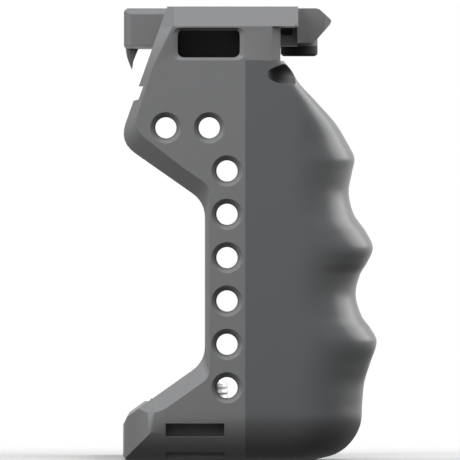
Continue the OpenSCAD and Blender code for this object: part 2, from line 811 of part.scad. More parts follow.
module top_plate() {
    color(metal) placed() difference() {
        union() {
            difference() {
                along_z(seam_z, cage_h) top_plan();
                span([-out_x - over, -top_front - over, seam_z - over],
                     [-half_w, rear_reach + over, cage_h + over]);
            }
            near_top_end();
            // Middle block and the beam behind the far window
            span([-block_half, -top_front, block_z], [block_half, rear_reach, cage_h]);
            span([block_half - over, beam_y, block_z], [half_w - fit, rear_reach, cage_h]);
            nose();
        }
        top_bevel_cut();
        both_sides() edge_cut();
        both_sides() nose_end_cut();
        plan_corner_cut(-out_x, -top_front, plan_r);
        plan_corner_cut(out_x, -top_front, plan_r);
        plan_corner_cut(out_x, rear_reach, corner_r);
        plan_corner_cut(-block_half, rear_reach, block_r);
        // Groove in the block's sides, below the bars
        both_sides() span([-block_half - over, groove_y[0], seam_z - groove_h],
                          [-block_half + groove_in, groove_y[1], seam_z]);
        // Chamfers on the block's upper rear and near edges
        along_x(-block_half - over, out_x + over) polygon([[rear_reach + over, cage_h - rear_cham - over],
            [rear_reach + over, cage_h + over], [rear_reach - rear_cham - over, cage_h + over]]);
        along_y(pad_rear, rear_reach + over) polygon([[-block_half - over, cage_h - side_cham - over],
            [-block_half - over, cage_h + over], [-block_half + side_cham + over, cage_h + over]]);
        // Strap ways at both ends
        both_sides() strap_way(cage_h + over);
        both_sides() at_shelf_screws(cage_h) plate_screw_hole();
        for (x = [-top_thread_x, top_thread_x]) for (y = top_thread_ys) translate([x, y, cage_h]) {
            translate([0, 0, -block_d - over]) cylinder(r = thread_r, h = block_d + 2 * over);
            translate([0, 0, thread_r - thread_mouth_r])
                cylinder(r1 = thread_r, r2 = thread_mouth_r, h = thread_mouth_r - thread_r);
        }
        // Seat of the cold shoe, open to the rear
        span([-shoe_w / 2 - fit, shoe_front - fit, shoe_z],
             [shoe_w / 2 + fit, rear_reach + over, cage_h + over]);
        at_shoe_screws() translate([0, 0, -block_d]) cylinder(r = shoe_screw_r + run, h = block_d);
        // Clamp: threaded bore and the foot's pocket
        translate([0, clamp_y, block_z]) cylinder(r = clamp_r + run, h = block_d + over);
        translate([0, clamp_y, block_z - over])
            cylinder(r = foot_r + pocket_gap, h = seam_z - block_z + over);
    }
}

module top_plate_screws() {
    color(black_steel) placed() both_sides() at_shelf_screws(cage_h - head_sunk) plate_screw();
}

// Bottom plate
module bottom_plate() {
    color(metal) placed() difference() {
        along_x(-lap_out, lap_out) seat_section();
        both_sides() {
            span([-lap_out - over, -side_front - over, lap_z],
                 [-lap_in, rear_reach + over, floor_h + over]);
            at_lap_screws(0) plate_screw_hole();
        }
        skin_room();
        grip_screw_holes();
        // Battery door window
        along_z(-over, floor_h + over) translate(battery_mid)
            round_rect(battery_size[0], battery_size[1], battery_r);
        // Camera screw's well, bore and clip recess
        translate([0, 0, -over]) cylinder(r = well_r, h = well_d + over);
        cylinder(r = screw_bore_r, h = floor_h);
        translate([0, 0, well_d + web_t]) cylinder(r = clip_well_r, h = floor_h);
        // Tripod threads
        for (x = [small_tripod_x, far_tripod_x]) translate([x, 0, 0]) {
            translate([0, 0, -over]) cylinder(r = thread_r, h = floor_h + 2 * over);
            cylinder(r1 = thread_mouth_r, r2 = thread_r, h = thread_mouth_r - thread_r);
        }
        translate([large_tripod_x, 0, -over]) cylinder(r = large_thread_r, h = floor_h + 2 * over);
        // Lightening slots beside the threads
        for (y = relief_ys) along_z(-over, relief_d) translate([large_tripod_x, y])
            round_slot(relief_l, relief_w / 2);
    }
}

module bottom_plate_screws() {
    color(black_steel) placed() both_sides() at_lap_screws(head_sunk) plate_screw();
}

// Handgrip: rings that follow the front profile
function reach_at(z) = mix(side_front, grip_reach, smooth(finger_shares, z / grip_h));
function sole_inset(z) = z >= corner_r ? 0 : corner_r - sqrt(corner_r * corner_r - pow(corner_r - z, 2));
function grip_ring(z) = let (
        f = reach_at(z),
        k = ease((1 - z / grip_h) / (1 - round_end_share)),
        low = sole_inset(z),
        xl = -out_x + low,
        xr = grip_end_x - low * end_share,
        rx = mix(top_corner_r, grip_mid_x - xl, k),
        rr = mix(top_corner_r, xr - grip_mid_x, k),
        ry = mix(top_corner_r, front_share * (f - seam_front), k),
        flank = f - ry,
        p = mix(corner_power, body_power, k))
    concat([[xl, -seam_front, z]],
        [for (i = [0 : front_steps]) let (a = 90 * i / front_steps)
            [xl + rx - rx * pow(cos(a), 2 / p), -flank - ry * pow(sin(a), 2 / p), z]],
        [for (i = [front_steps : -1 : 0]) let (a = 90 * i / front_steps)
            [xr - rr + rr * pow(cos(a), 2 / p) + (i == front_steps ? ring_step : 0),
             -flank - ry * pow(sin(a), 2 / p), z]],
        [[xr, -seam_front, z]]);

module grip_form() {
    loft([for (s = ring_shares) grip_ring(grip_h * s)]);
}
post_places = [for (x = [grip_pocket_x[0] + post_in, grip_pocket_x[1] - post_in])
               for (z = [grip_pocket_z[0] + post_in, grip_pocket_z[1] - post_in]) [x, z]];
module at_posts(y) {
    for (p = post_places) translate([p[0], y, p[1]]) rotate([-90, 0, 0]) children();
}

module handgrip() {
    color(moulding) placed() difference() {
        grip_form();
        // The frame's tongue, the seat's front and the camera's front lie behind this
        difference() {
            along_y(-side_front, -seam_front + over) flank_section(skin_t);
            span([-out_x, -side_front - over, tongue_top + fit], [-half_w - fit, over, grip_h + over]);
        }
        span([-half_w, -side_front - 2 * over, grip_h - wedge_drop],
             [grip_end_x + over, -seam_front + over, grip_h + over]);
        // Pocket with four posts, and the back plate's recess
        difference() {
            span([grip_pocket_x[0], -grip_pocket_y, grip_pocket_z[0]],
                 [grip_pocket_x[1], -side_front + over, grip_pocket_z[1]]);
            at_posts(-grip_pocket_y - over)
                cylinder(r = post_r, h = grip_pocket_y + over - side_front - back_t);
        }
        span([grip_pocket_x[0] - back_lip, -side_front - back_t, grip_pocket_z[0] - back_lip],
             [grip_pocket_x[1] + back_lip, -side_front + over, grip_pocket_z[1] + back_lip]);
        at_posts(-side_front - back_t - back_screw_len)
            cylinder(r = back_screw_r + run, h = back_screw_len);
        // Scoop across the top corner
        translate([-out_x - run + scoop_r * cos(scoop_tilt), scoop_y - scoop_r * sin(scoop_tilt), scoop_z])
            rotate([90, 0, -scoop_tilt]) cylinder(r = scoop_r, h = grip_reach);
        grip_screw_holes();
    }
}

module grip_back_plate() {
    color(dark_metal) placed() difference() {
        span([grip_pocket_x[0] - back_lip + fit, -side_front - back_t, grip_pocket_z[0] - back_lip + fit],
             [grip_pocket_x[1] + back_lip - fit, -side_front, grip_pocket_z[1] + back_lip - fit]);
        at_posts(-side_front) flat_screw_hole(back_screw_r, back_head_r, back_head_h, back_screw_len, 0);
    }
}
module back_plate_screws() {
    color(black_steel) placed() at_posts(-side_front)
        flat_screw(back_screw_r, back_head_r, back_head_h, back_screw_len);
}
module grip_pad() {
    color(rubber) placed() along_y(-side_front, -side_front + grip_pad_t) translate(grip_pocket_mid)
        round_rect(grip_pocket_x[1] - grip_pocket_x[0] - 4 * pad_r,
                   grip_pocket_z[1] - grip_pocket_z[0] - 4 * pad_r, pad_r);
}
module grip_side_screws() {
    color(black_steel) placed() at_side_screws(-half_w - head_sunk)
        flat_screw(grip_screw_r, grip_head_r, grip_head_h, side_screw_len);
}
module grip_base_screws() {
    color(black_steel) placed() at_base_screws(head_sunk)
        flat_screw(grip_screw_r, grip_head_r, grip_head_h, base_screw_len);
}

// Camera screw with a lug for its ring
module camera_screw() {
    color(steel) placed() difference() {
        union() {
            translate([0, 0, head_z]) cylinder(r = head_r, h = head_h);
            translate([0, 0, head_z]) cylinder(r = screw_r, h = floor_h + screw_out - screw_tip - head_z);
            translate([0, 0, floor_h + screw_out - screw_tip])
                cylinder(r1 = screw_r, r2 = screw_r - screw_tip, h = screw_tip);
            span([-lug_w / 2, -lug_l / 2, lug_z], [lug_w / 2, lug_l / 2, head_z]);
        }
        translate([0, lug_l, ring_z]) rotate([90, 0, 0]) cylinder(r = ring_wire + run, h = 2 * lug_l);
        difference() {
            translate([0, 0, clip_z - run]) cylinder(r = screw_r + over, h = clip_t + 2 * run);
            translate([0, 0, clip_z - over]) cylinder(r = screw_r - clip_groove, h = clip_t + 2 * over);
        }
    }
}
module camera_screw_ring() {
    color(steel) placed() translate([0, 0, ring_z]) {
        rotate([90, 0, 0]) cylinder(r = ring_wire, h = 2 * ring_half, center = true);
        for (s = [-1, 1]) translate([0, s * ring_half, 0]) {
            sphere(ring_wire);
            rotate([0, 90, 0]) cylinder(r = ring_wire, h = ring_arm);
        }
        translate([ring_arm, 0, 0]) rotate([0, 0, -90])
            rotate_extrude(angle = 180) translate([ring_half, 0]) circle(ring_wire);
    }
}
module camera_screw_clip() {
    color(steel) placed() difference() {
        translate([0, 0, clip_z]) cylinder(r = clip_r, h = clip_t);
        translate([0, 0, clip_z - over]) cylinder(r = screw_r - clip_groove + run, h = clip_t + 2 * over);
        span([-screw_r * clip_slit_share, 0, clip_z - over],
             [screw_r * clip_slit_share, clip_r + over, clip_z + clip_t + over]);
    }
}

// Rubber pads
module floor_pad() {
    color(rubber) placed() along_z(floor_h, floor_h + pad_t) difference() {
        translate([-lap_out, -side_front + pad_in]) square([2 * lap_out, side_front + ramp_y - 2 * pad_in]);
        translate(battery_mid)
            round_rect(battery_size[0] + 2 * pad_gap, battery_size[1] + 2 * pad_gap, battery_r);
        circle(clip_well_r + pad_gap);
        for (x = [small_tripod_x, far_tripod_x, large_tripod_x])
            translate([x, 0]) circle(large_thread_r + pad_gap);
    }
}
module grip_side_pad() {
    color(rubber) placed() span([-half_w, -side_front + pad_edge, side_pad_z[0]],
                                [-half_w + pad_t, -seam_front - pad_edge, side_pad_z[1]]);
}
module far_side_pad() {
    color(rubber) placed() span([half_w - pad_t, -side_front + pad_edge, side_pad_z[0]],
                                [half_w, strut_rear - pad_gap, side_pad_z[1]]);
}
module deck_pads() {
    color(rubber) placed() both_sides()
        span([-half_w + strap_wall + pad_gap, -side_front + pad_in, seam_z - shelf_d - deck_pad_t],
             [-half_w + shelf_w - pad_gap, shelf_rear - pad_edge, seam_z - shelf_d]);
}

// Clamp that steadies the camera's top deck
module clamp_screw() {
    color(black_steel) placed() translate([0, clamp_y, 0]) difference() {
        translate([0, 0, foot_z + foot_h - foot_pit + run])
            cylinder(r = clamp_r, h = clamp_top - foot_z - foot_h + foot_pit - run);
        translate([0, 0, clamp_top - clamp_key_d])
            cylinder(r = clamp_key_r, h = clamp_key_d + over, $fn = 6);
    }
}
module clamp_foot() {
    color(dark_metal) placed() translate([0, clamp_y, foot_z]) difference() {
        union() {
            cylinder(r = foot_r, h = foot_h - clamp_cham);
            translate([0, 0, foot_h - clamp_cham])
                cylinder(r1 = foot_r, r2 = foot_r - clamp_cham, h = clamp_cham);
        }
        translate([0, 0, foot_h - foot_pit]) cylinder(r = clamp_r + run, h = foot_pit + over);
    }
}
module clamp_pad() {
    color(rubber) placed() translate([0, clamp_y, foot_z - clamp_pad_h]) {
        cylinder(r1 = foot_r - clamp_cham, r2 = foot_r, h = clamp_cham);
        translate([0, 0, clamp_cham]) cylinder(r = foot_r, h = clamp_pad_h - clamp_cham);
    }
}

// Cold shoe insert, its screws and its spring
module at_shoe_screws() {
    for (x = [-shoe_screw_x, shoe_screw_x]) for (y = [-shoe_screw_y, shoe_screw_y])
        translate([x, shoe_mid_y + y, shoe_z + shoe_floor]) children();
}
module cold_shoe() {
    color(steel) placed() difference() {
        span([-shoe_w / 2, shoe_front, shoe_z], [shoe_w / 2, shoe_front + shoe_l, cage_h - shoe_sunk]);
        span([-shoe_slot_w / 2, shoe_front + shoe_floor, shoe_z + shoe_floor],
             [shoe_slot_w / 2, shoe_front + shoe_l + over, shoe_z + shoe_floor + shoe_slot_h]);
        span([-shoe_gap / 2, shoe_front + shoe_floor, shoe_z + shoe_floor],
             [shoe_gap / 2, shoe_front + shoe_l + over, cage_h + over]);
        at_shoe_screws() flat_screw_hole(shoe_screw_r, shoe_head_r, shoe_floor - run, shoe_floor + over, 0);
    }
}
module cold_shoe_screws() {
    color(black_steel) placed() at_shoe_screws()
        flat_screw(shoe_screw_r, shoe_head_r, shoe_floor - run, shoe_screw_len);
}
module cold_shoe_spring() {
    color(steel) placed() difference() {
        span([-spring_w / 2, shoe_front + shoe_floor + fit, shoe_z + shoe_floor],
             [spring_w / 2, shoe_front + shoe_l - spring_back, shoe_z + shoe_floor + spring_t]);
        for (x = [-spring_w / 4, spring_w / 4])
            span([x - spring_slit / 2, spring_slit_y[0], shoe_z],
                 [x + spring_slit / 2, spring_slit_y[1], shoe_z + shoe_floor + spring_t + over]);
    }
}

grip_side_plate();
far_side_plate();
top_plate();
bottom_plate();
top_plate_screws();
bottom_plate_screws();
handgrip();
grip_back_plate();
back_plate_screws();
grip_pad();
grip_side_screws();
grip_base_screws();
camera_screw();
camera_screw_ring();
camera_screw_clip();
floor_pad();
grip_side_pad();
far_side_pad();
deck_pads();
clamp_screw();
clamp_foot();
clamp_pad();
cold_shoe();
cold_shoe_screws();
cold_shoe_spring();
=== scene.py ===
"""Looks of the camera cage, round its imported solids.

The scene is in metres, with +Z up, -Y the lens side and -X the grip side.
"""
import json
import math

import bpy
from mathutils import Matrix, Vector


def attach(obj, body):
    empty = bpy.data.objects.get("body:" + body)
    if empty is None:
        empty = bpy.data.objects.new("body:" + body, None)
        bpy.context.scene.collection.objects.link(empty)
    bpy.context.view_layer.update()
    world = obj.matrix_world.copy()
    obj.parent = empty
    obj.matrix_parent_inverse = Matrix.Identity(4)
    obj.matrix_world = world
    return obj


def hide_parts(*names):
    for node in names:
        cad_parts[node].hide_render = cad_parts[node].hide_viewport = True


MM = 0.001
INCH = 25.4

# Driving sizes of the solids, in millimetres; each Y runs from the camera screw
CAGE_H = 99.5
HALF_W = 60.0
SIDE_T = 6.5
TOP_T = 4.4
FLOOR_H = 12.0
REAR_REACH = 19.7
SIDE_FRONT = 14.8
SEAM_FRONT = 7.15
SLOPE_BACK = 9.7
CORNER_R = 10.0
BLOCK_HALF = 24.0
BLOCK_D = 8.3
SHOE_W = 20.4
HOLE_STEP = 9.5
FIT = 0.1
RUN = 0.05
OUT_X = HALF_W + SIDE_T
SEAM_Z = CAGE_H - TOP_T

# Handgrip
GRIP_GAP = 7.5
GRIP_H = SEAM_Z - GRIP_GAP
GRIP_REACH = 36.0
GRIP_W = 38.0
GRIP_END_X = -OUT_X + GRIP_W
SKIN_T = 2.5
TOP_CORNER_R = 2.4
WEDGE_DROP = 1.3
TONGUE_DROP = 7.6
TONGUE_ROOM_TOP = GRIP_H - TONGUE_DROP + FIT

# Seat of the grip's back plate, a lip wider than the pocket it closes
POCKET_OUT = 2.0
POCKET_END = 8.5
BACK_LIP = 2.2
PLATE_SEAT_TOP = 69.2
PLATE_SEAT_X = (-HALF_W + POCKET_OUT - BACK_LIP, GRIP_END_X - POCKET_END + BACK_LIP)
PLATE_SEAT_Z = (FLOOR_H - BACK_LIP, PLATE_SEAT_TOP)

# Scoop across the grip's top corner
SCOOP_R = 2.3
SCOOP_TILT = 22.0
SCOOP_BACK = 2.75
SCOOP_Y = -SIDE_FRONT + SCOOP_BACK
SCOOP_DROP = 3.05

# Screws up through the grip's sole
LAP_SCREW_IN = 9.5
BASE_SCREW_END = 7.5
GRIP_SCREW_IN = 3.5
GRIP_HEAD_R = 2.4
GRIP_HEAD_H = 1.4
HEAD_SUNK = 0.2
BASE_SCREW_XS = (-HALF_W + LAP_SCREW_IN, GRIP_END_X - BASE_SCREW_END)
BASE_SCREW_Y = -SIDE_FRONT + GRIP_SCREW_IN

# Quarter inch threads. OUT is how far a thread stops short of its bore's outer end, and IN of
# its inner end.
THREAD_R = 2.6
THREAD_DEPTH = 0.3
THREAD_PITCH = INCH / 20
THREAD_OUT = 1.2
SIDE_THREAD_IN = 0.4
SIDE_THREAD_L = SIDE_T - THREAD_OUT - SIDE_THREAD_IN
TOP_THREAD_IN = 0.5
TOP_THREAD_Z = CAGE_H - BLOCK_D + TOP_THREAD_IN
TOP_THREAD_L = BLOCK_D - THREAD_OUT - TOP_THREAD_IN

# Places of those threads
COLUMN_N = 6
COLUMN_Y = -3.1
COLUMN_LOW = 15.95
PAIR_Y = 0.8
PAIR_DROP = 26.6
FAR_THREAD_Y = -3.2
FAR_THREAD_DROP = 16.1
TOP_THREAD_X = (BLOCK_HALF + SHOE_W / 2) / 2
TOP_THREAD_Y = 1.0
TOP_THREAD_BACK = 6.7
TOP_THREAD_YS = (TOP_THREAD_Y, REAR_REACH - TOP_THREAD_BACK)

# Tripod threads: two small, and one of three eighths of an inch between them
SMALL_TRIPOD_SHARES = (0.25, 0.65)
SMALL_TRIPOD_Z = 1.3
SMALL_TRIPOD_IN = 0.5
SMALL_TRIPOD_L = FLOOR_H - SMALL_TRIPOD_Z - SMALL_TRIPOD_IN
LARGE_TRIPOD_SHARE = 0.46
LARGE_TRIPOD_Z = 0.8
LARGE_TRIPOD_L = FLOOR_H - 2 * LARGE_TRIPOD_Z
LARGE_THREAD_R = 4.1
LARGE_THREAD_DEPTH = 0.36
LARGE_THREAD_PITCH = INCH / 16

# Camera screw
SCREW_R = 3.175
SCREW_OUT = 5.2
SCREW_TIP = 0.8
SCREW_THREAD_DEPTH = 0.18
SCREW_THREAD_END = 0.4
SCREW_THREAD_Z = FLOOR_H + SCREW_THREAD_END
SCREW_THREAD_L = SCREW_OUT - SCREW_TIP - 2 * SCREW_THREAD_END

# Upper strap slots, and the two depths in X that the black sheets of painted shade in them span
STRAP_IN = 2.3
STRAP_DROP = 3.7
STRAP_W = 13.6
STRAP_H = 6.2
STRAP_Y = REAR_REACH - SLOPE_BACK - STRAP_IN - STRAP_W / 2
STRAP_Z = SEAM_Z - STRAP_DROP
SHADE_SHEET_GAP = 0.2
SHADE_SHEET_FRONT = 1.6
SHADE_SHEET_BACK = 2.7
SHADE_SHEET_X = (OUT_X - SHADE_SHEET_FRONT, HALF_W - SHADE_SHEET_BACK)

# How far a cutter reaches past what it cuts
OVER = 1.0

# Corners of a square, as signs
SQUARE = ((-1, -1), (1, -1), (1, 1), (-1, 1))

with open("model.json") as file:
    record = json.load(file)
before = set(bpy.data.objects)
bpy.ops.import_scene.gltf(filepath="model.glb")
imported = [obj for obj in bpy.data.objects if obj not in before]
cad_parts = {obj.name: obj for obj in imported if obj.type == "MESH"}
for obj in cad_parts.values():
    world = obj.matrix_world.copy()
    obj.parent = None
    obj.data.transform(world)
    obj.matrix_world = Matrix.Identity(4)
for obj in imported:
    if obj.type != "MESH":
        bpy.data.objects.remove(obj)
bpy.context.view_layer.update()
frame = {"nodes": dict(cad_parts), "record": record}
nodes = frame["nodes"]


def link_chain(tree, *pairs):
    for source, target in pairs:
        tree.links.new(source, target)


def new_node(tree, kind, **values):
    """A shader node with its inputs set by name; two underscores stand for a space."""
    node = tree.nodes.new(kind)
    for key, value in values.items():
        node.inputs[key.replace("__", " ")].default_value = value
    return node


def object_noise(tree, scale, detail):
    """Noise in the object's own coordinates."""
    place = tree.nodes.new("ShaderNodeTexCoord")
    noise = new_node(tree, "ShaderNodeTexNoise", Scale=scale, Detail=detail)
    link_chain(tree, (place.outputs["Object"], noise.inputs["Vector"]))
    return noise.outputs["Fac"]


MOTTLE_SCALE = 160
MOTTLE_DETAIL = 4
GRAIN_DETAIL = 2
GRAIN_DEPTH = 0.02 * MM
BEVEL_SAMPLES = 6


def satin(name, colour, metallic, roughness, grain=0.0, grain_scale=9000.0, mottled=0.0,
          edge=0.0, specular=0.5):
    """A plain finish: fine grain in the bump, a slow mottle in the roughness, softened edges.

    The edge is the radius in millimetres to which edges look rounded.
    """
    mat = bpy.data.materials.new(name)
    mat.use_nodes = True
    tree = mat.node_tree
    shader = tree.nodes["Principled BSDF"]
    shader.inputs["Base Color"].default_value = (*colour, 1)
    shader.inputs["Metallic"].default_value = metallic
    shader.inputs["Roughness"].default_value = roughness
    shader.inputs["Specular IOR Level"].default_value = specular
    if mottled:
        spread = new_node(tree, "ShaderNodeMapRange", To__Min=roughness - mottled,
                          To__Max=roughness + mottled)
        mottle = object_noise(tree, MOTTLE_SCALE, MOTTLE_DETAIL)
        link_chain(tree, (mottle, spread.inputs["Value"]),
                   (spread.outputs["Result"], shader.inputs["Roughness"]))
    last = None
    if edge:
        last = new_node(tree, "ShaderNodeBevel", Radius=edge * MM)
        last.samples = BEVEL_SAMPLES
    if grain:
        bump = new_node(tree, "ShaderNodeBump", Strength=grain, Distance=GRAIN_DEPTH)
        link_chain(tree, (object_noise(tree, grain_scale, GRAIN_DETAIL), bump.inputs["Height"]))
        if last:
            link_chain(tree, (last.outputs["Normal"], bump.inputs["Normal"]))
        last = bump
    if last:
        link_chain(tree, (last.outputs["Normal"], shader.inputs["Normal"]))
    return mat


MATERIALS = {
    "frame_metal": satin("frame_metal", (0.170, 0.172, 0.175), 0.15, 0.42,
                         grain=0.12, mottled=0.03, edge=0.16, specular=0.1),
    "grip_shell": satin("grip_shell", (0.095, 0.097, 0.100), 0.0, 0.34,
                        grain=0.2, grain_scale=5000, mottled=0.03, edge=0.12, specular=0.28),
    "dark_metal": satin("dark_metal", (0.050, 0.050, 0.052), 0.8, 0.45, grain=0.1, edge=0.1),
    "black_steel": satin("black_steel", (0.025, 0.025, 0.027), 0.5, 0.38, edge=0.08),
    "bright_steel": satin("bright_steel", (0.55, 0.55, 0.56), 1.0, 0.3, grain=0.1, edge=0.08),
    "black_rubber": satin("black_rubber", (0.012, 0.012, 0.012), 0.0, 0.7,
                          grain=0.4, grain_scale=3500, specular=0.25),
}

# Angles in degrees, over which an edge stays sharp
NODE_EDGE = 28
GRIP_EDGE = 32
PIECE_EDGE = 50

# Points of a node that are closer than this become one
WELD_GAP = 0.001 * MM


def smooth_by_angle(obj, degrees):
    """Smooth shading, with edges over the angle kept sharp and the mesh left as it is."""
    split = obj.modifiers.new("edges", "EDGE_SPLIT")
    split.split_angle = math.radians(degrees)
    for p in obj.data.polygons:
        p.use_smooth = True


slots = {p["node"]: p["material_slot"] for p in frame["record"]["subparts"]}
for name, obj in nodes.items():
    obj.data.materials.clear()
    obj.data.materials.append(MATERIALS[slots[name]])
    weld = obj.modifiers.new("weld", "WELD")
    weld.merge_threshold = WELD_GAP
    smooth_by_angle(obj, NODE_EDGE)


def at(y):
    """The frame's own Y of a place given from the camera screw."""
    return y + (GRIP_REACH - REAR_REACH) / 2


def mesh_object(name, verts, faces):
    """An object from points in millimetres."""
    mesh = bpy.data.meshes.new(name)
    mesh.from_pydata([tuple(c * MM for c in v) for v in verts], [], faces)
    mesh.validate()
    mesh.update()
    obj = bpy.data.objects.new(name, mesh)
    bpy.context.scene.collection.objects.link(obj)
    return obj


def add_piece(name, verts, faces, slot, body, smooth=True, replaces=()):
    """A piece of the dressed part: a mesh that rides on a body."""
    obj = mesh_object(name, verts, faces)
    obj.data.materials.append(MATERIALS[slot])
    if smooth:
        smooth_by_angle(obj, PIECE_EDGE)
    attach(obj, body)
    if replaces:
        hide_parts(*replaces)
    return obj


def loft(rings):
    """Vertices and faces of a closed solid through rings of equal length."""
    n = len(rings[0])
    verts = [p for r in rings for p in r]
    faces = []
    for k in range(len(rings) - 1):
        for i in range(n):
            j = (i + 1) % n
            faces.append((k * n + i, k * n + j, (k + 1) * n + j, (k + 1) * n + i))
    faces.append(tuple(range(n - 1, -1, -1)))
    faces.append(tuple((len(rings) - 1) * n + i for i in range(n)))
    return verts, faces


def box_mesh(lo, hi):
    """Vertices and faces of a box between two corners."""
    xs, ys, zs = zip(lo, hi)
    verts = [(xs[i], ys[j], zs[k]) for k in (0, 1) for j in (0, 1) for i in (0, 1)]
    faces = [(0, 2, 3, 1), (4, 5, 7, 6), (0, 1, 5, 4), (2, 6, 7, 3), (0, 4, 6, 2), (1, 3, 7, 5)]
    return verts, faces


def rod_mesh(start, direction, radius, length, n=64):
    """Vertices and faces of a closed cylinder from a point along a direction."""
    along = Vector(direction).normalized()
    side = along.orthogonal().normalized()
    up = along.cross(side)
    rings = []
    for reach in (0.0, length):
        centre = Vector(start) + along * reach
        ring = []
        for i in range(n):
            a = 2 * math.pi * i / n
            ring.append(tuple(centre + (side * math.cos(a) + up * math.sin(a)) * radius))
        rings.append(ring)
    return loft(rings)


def cut(obj, shapes):
    """Cuts closed shapes out of an object's own mesh."""
    cutters = []
    for shape in shapes:
        cutters.append(mesh_object("cutter", *shape))
        mod = obj.modifiers.new("cut", "BOOLEAN")
        mod.object = cutters[-1]
        mod.solver = "EXACT"
    graph = bpy.context.evaluated_depsgraph_get()
    made = bpy.data.meshes.new_from_object(obj.evaluated_get(graph))
    obj.modifiers.clear()
    obj.data = made
    for cutter in cutters:
        bpy.data.objects.remove(cutter)


# Handgrip: the solid's own form with finer steps. Each pair is a share of the grip's height
# and, from the side plate's front, a share of its reach.
FINGER_SHARES = [
    (0, .358), (.014, .57), (.044, .732), (.089, .832), (.144, .851), (.195, .873), (.24, .929),
    (.297, 1), (.33, .936), (.361, .844), (.4155, .783), (.466, .83), (.496, .904), (.532, .96),
    (.571, .891), (.616, .764), (.671, .711), (.722, .745), (.757, .769), (.798, .688),
    (.844, .57), (.8955, .38), (.945, .19), (.975, .115), (1, .029)]
SOLE_SHARE = 0.1142
ROUND_END_SHARE = 0.759
FRONT_SHARE = 0.59
END_SHARE = 0.6
CORNER_POWER = 2.0
BODY_POWER = 2.4
RING_STEP = 0.01
FRONT_STEPS = 40
SOLE_RINGS = 22
BODY_RINGS = 150
SCOOP_STEPS = 96


def smooth_curve(table, t):
    """Cubic pieces whose slopes come from the neighbouring points."""
    def slope(i):
        a, b = table[max(0, i - 1)], table[min(len(table) - 1, i + 1)]
        return (b[1] - a[1]) / (b[0] - a[0])
    i = 0
    while i < len(table) - 2 and t > table[i + 1][0]:
        i += 1
    a, b = table[i], table[i + 1]
    w = b[0] - a[0]
    s = (t - a[0]) / w
    return ((1 + 2 * s) * (1 - s) ** 2 * a[1] + s * (1 - s) ** 2 * w * slope(i)
            + s * s * (3 - 2 * s) * b[1] + s * s * (s - 1) * w * slope(i + 1))


def ease(t):
    """Zero to one with level ends."""
    s = min(1.0, max(0.0, t))
    return s * s * (3 - 2 * s)


def mix(a, b, t):
    return a + (b - a) * t


def grip_ring(z):
    """The handgrip's outline at one height, from its flank round the front to its inner end."""
    reach = mix(SIDE_FRONT, GRIP_REACH, smooth_curve(FINGER_SHARES, z / GRIP_H))
    full = ease((1 - z / GRIP_H) / (1 - ROUND_END_SHARE))
    low = 0 if z >= CORNER_R else CORNER_R - math.sqrt(CORNER_R ** 2 - (CORNER_R - z) ** 2)
    x_out, x_in = -OUT_X + low, GRIP_END_X - low * END_SHARE
    mid = -OUT_X + GRIP_W / 2
    r_out = mix(TOP_CORNER_R, mid - x_out, full)
    r_in = mix(TOP_CORNER_R, x_in - mid, full)
    r_front = mix(TOP_CORNER_R, FRONT_SHARE * (reach - SEAM_FRONT), full)
    flank = reach - r_front
    power = 2 / mix(CORNER_POWER, BODY_POWER, full)
    arc = []
    for i in range(FRONT_STEPS + 1):
        a = math.pi / 2 * i / FRONT_STEPS
        arc.append((max(0.0, math.cos(a)) ** power, -flank - r_front * math.sin(a) ** power))
    ring = [(x_out, -SEAM_FRONT)]
    ring += [(x_out + r_out - r_out * c, y) for c, y in arc]
    ring += [(x_in - r_in + r_in * c + (RING_STEP if c == 0 else 0), y)
             for c, y in reversed(arc)]
    ring.append((x_in, -SEAM_FRONT))
    return [(x, at(y), z) for x, y in ring]


def tongue_room(y0, y1, top, n=40):
    """Room of the frame's tongue: the frame's front section less the skin, as a prism."""
    r = CORNER_R - SKIN_T
    section = [(-OUT_X + SKIN_T, top), (0, top), (0, SKIN_T)]
    for i in range(n + 1):
        a = math.pi / 2 * i / n
        section.append((-OUT_X + CORNER_R - r * math.sin(a), CORNER_R - r * math.cos(a)))
    return loft([[(x, y, z) for x, z in section] for y in (y0, y1)])


def scoop():
    """The tilted round relief across the handgrip's top corner."""
    t = math.radians(SCOOP_TILT)
    start = (-OUT_X - RUN + SCOOP_R * math.cos(t), at(SCOOP_Y - SCOOP_R * math.sin(t)),
             GRIP_H - SCOOP_DROP)
    return rod_mesh(start, (-math.sin(t), -math.cos(t), 0), SCOOP_R, GRIP_REACH, n=SCOOP_STEPS)


def base_screw_seat(x):
    """Place of a base screw's head in the sole."""
    return rod_mesh((x, at(BASE_SCREW_Y), -OVER), (0, 0, 1), GRIP_HEAD_R + RUN,
                    OVER + GRIP_HEAD_H + HEAD_SUNK)


def handgrip():
    """The moulding, with room for the frame's tongue, the wedge and the back plate in it."""
    sole_h = GRIP_H * SOLE_SHARE
    sole = [sole_h * (1 - math.cos(math.pi / 2 * i / SOLE_RINGS)) for i in range(SOLE_RINGS)]
    rest = [mix(sole_h, GRIP_H, i / BODY_RINGS) for i in range(BODY_RINGS + 1)]
    grip = add_piece("handgrip_moulding", *loft([grip_ring(z) for z in sole + rest]),
                     "grip_shell", "frame", smooth=False, replaces=("handgrip",))
    front = -SIDE_FRONT
    seam = -SEAM_FRONT
    cut(grip, [
        tongue_room(at(front), at(seam + 2 * OVER), TONGUE_ROOM_TOP),
        box_mesh((-HALF_W - FIT, at(front), TONGUE_ROOM_TOP - 2 * OVER),
                 (0, at(seam + 2 * OVER), CAGE_H)),
        box_mesh((-HALF_W, at(front - 2 * OVER), GRIP_H - WEDGE_DROP),
                 (GRIP_END_X + 2 * OVER, at(seam + OVER), GRIP_H + OVER)),
        box_mesh((PLATE_SEAT_X[0], at(front - 2 * OVER), PLATE_SEAT_Z[0]),
                 (PLATE_SEAT_X[1], at(front + OVER), PLATE_SEAT_Z[1])),
        scoop(),
        *[base_screw_seat(x) for x in BASE_SCREW_XS],
    ])
    smooth_by_angle(grip, GRIP_EDGE)


handgrip()

